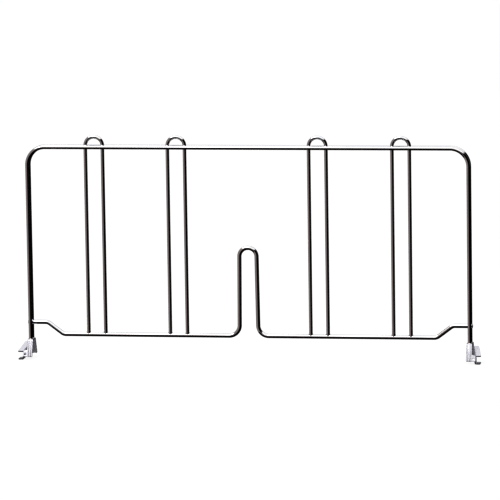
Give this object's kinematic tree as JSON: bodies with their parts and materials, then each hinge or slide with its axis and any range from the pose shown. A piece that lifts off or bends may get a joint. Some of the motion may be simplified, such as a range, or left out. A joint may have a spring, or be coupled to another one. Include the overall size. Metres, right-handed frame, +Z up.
{
  "type": "wire shelf divider",
  "caption": "Snap-in divider for wire shelving: a chromed double-wire frame with upright hoops and a cranked lower wire, held at each end by a stamped clip that grips the shelf's rail.",
  "frame": {"origin": "midway between the two shelf rails that the clips grip, at the height of the rails' centres", "axes": "+X along the divider from the left clip to the right clip, +Y from the front frame wire to the rear one, +Z up"},
  "size_m": [0.4638, 0.0282, 0.2239],
  "materials": {
    "wire_chrome": "bright chrome plate over drawn steel wire",
    "clip_plate": "bright plate over stamped spring steel, a little hazier than the wire",
    "weld_metal": "resistance weld beads, plated over with the wire"
  },
  "bodies": {
    "root": {"frame_wire_front": "wire_chrome", "frame_wire_rear": "wire_chrome", "lower_wire": "wire_chrome", "hoop_1": "wire_chrome", "hoop_2": "wire_chrome", "hoop_3": "wire_chrome", "hoop_4": "wire_chrome", "clip_left": "clip_plate", "clip_right": "clip_plate", "weld_hoop_1_left_bar_front": "weld_metal", "weld_hoop_1_left_bar_rear": "weld_metal", "weld_hoop_1_left_foot": "weld_metal", "weld_hoop_1_right_bar_front": "weld_metal", "weld_hoop_1_right_bar_rear": "weld_metal", "weld_hoop_1_right_foot": "weld_metal", "weld_hoop_2_left_bar_front": "weld_metal", "weld_hoop_2_left_bar_rear": "weld_metal", "weld_hoop_2_left_foot": "weld_metal", "weld_hoop_2_right_bar_front": "weld_metal", "weld_hoop_2_right_bar_rear": "weld_metal", "weld_hoop_2_right_foot": "weld_metal", "weld_hoop_3_left_bar_front": "weld_metal", "weld_hoop_3_left_bar_rear": "weld_metal", "weld_hoop_3_left_foot": "weld_metal", "weld_hoop_3_right_bar_front": "weld_metal", "weld_hoop_3_right_bar_rear": "weld_metal", "weld_hoop_3_right_foot": "weld_metal", "weld_hoop_4_left_bar_front": "weld_metal", "weld_hoop_4_left_bar_rear": "weld_metal", "weld_hoop_4_left_foot": "weld_metal", "weld_hoop_4_right_bar_front": "weld_metal", "weld_hoop_4_right_bar_rear": "weld_metal", "weld_hoop_4_right_foot": "weld_metal", "weld_lower_wire_left_front": "weld_metal", "weld_clip_left_front": "weld_metal", "weld_lower_wire_left_rear": "weld_metal", "weld_clip_left_rear": "weld_metal", "weld_lower_wire_right_front": "weld_metal", "weld_clip_right_front": "weld_metal", "weld_lower_wire_right_rear": "weld_metal", "weld_clip_right_rear": "weld_metal"}
  },
  "joints": []
}
